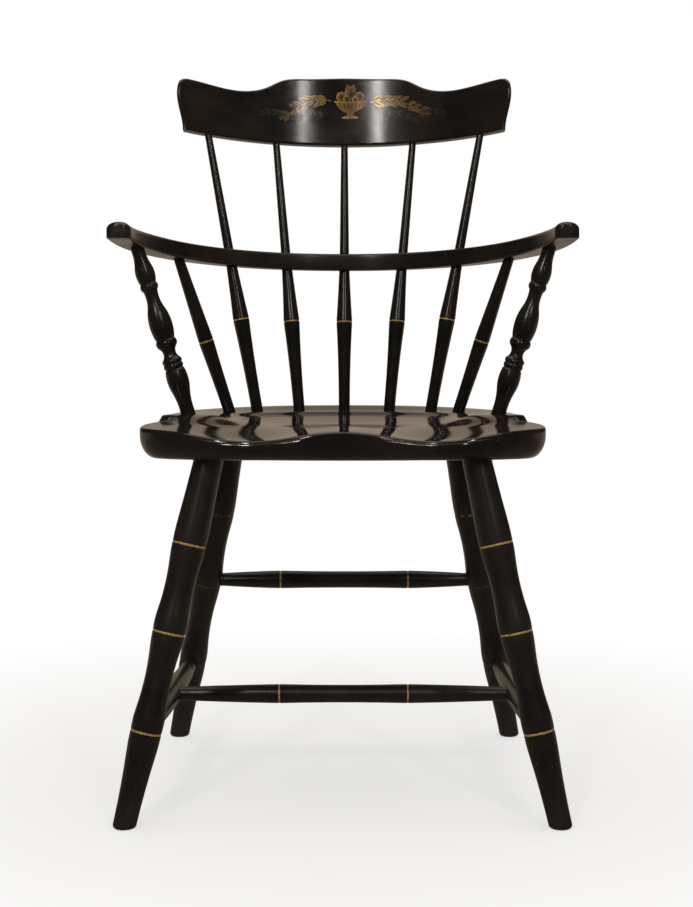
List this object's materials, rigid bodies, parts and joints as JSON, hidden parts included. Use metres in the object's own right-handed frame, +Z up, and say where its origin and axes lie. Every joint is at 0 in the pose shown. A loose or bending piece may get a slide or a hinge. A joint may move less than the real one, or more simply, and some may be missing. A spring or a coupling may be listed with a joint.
{
  "type": "comb-back windsor armchair",
  "caption": "Black lacquered comb-back armchair with a carved plank seat, splayed ringed legs, bent arm rail on turned posts, and a stenciled bent crest.",
  "frame": {"origin": "floor level, under the middle of the chair's overall box", "axes": "+X to the right as seen from the front, +Y towards the back, +Z up"},
  "size_m": [0.56, 0.4698, 0.9189],
  "materials": {
    "center_spindle": "glossy black lacquer over turned wood, with gold painted lines in the ring grooves",
    "inner_spindles": "glossy black lacquer over turned wood, with gold painted lines in the ring grooves",
    "outer_spindles": "glossy black lacquer over turned wood, with gold painted lines in the ring grooves",
    "short_spindles": "glossy black lacquer over turned wood, with gold painted lines in the ring grooves",
    "arm_posts": "glossy black lacquer over turned wood, with gold painted lines in the ring grooves",
    "front_legs": "glossy black lacquer over turned wood, with gold painted lines in the ring grooves",
    "rear_legs": "glossy black lacquer over turned wood, with gold painted lines in the ring grooves",
    "side_stretchers": "glossy black lacquer over turned wood",
    "cross_stretcher": "glossy black lacquer over turned wood, with gold painted lines in the ring grooves",
    "rear_stretcher": "glossy black lacquer over turned wood, with gold painted lines in the ring grooves",
    "seat": "high gloss black lacquer over a carved solid plank",
    "arm_rail": "glossy black lacquer over bent wood",
    "crest_rail": "satin black lacquer over bent wood, with worn gold stencil decoration"
  },
  "bodies": {
    "root": {"long_spindle_center": "center_spindle", "long_spindle_inner_left": "inner_spindles", "long_spindle_inner_right": "inner_spindles", "long_spindle_outer_left": "outer_spindles", "long_spindle_outer_right": "outer_spindles", "short_spindle_left": "short_spindles", "short_spindle_right": "short_spindles", "arm_post_left": "arm_posts", "arm_post_right": "arm_posts", "leg_front_left": "front_legs", "leg_front_right": "front_legs", "leg_rear_left": "rear_legs", "leg_rear_right": "rear_legs", "side_stretcher_left": "side_stretchers", "side_stretcher_right": "side_stretchers", "cross_stretcher": "cross_stretcher", "rear_stretcher": "rear_stretcher", "seat": "seat", "arm_rail": "arm_rail", "crest_rail": "crest_rail"}
  },
  "joints": []
}
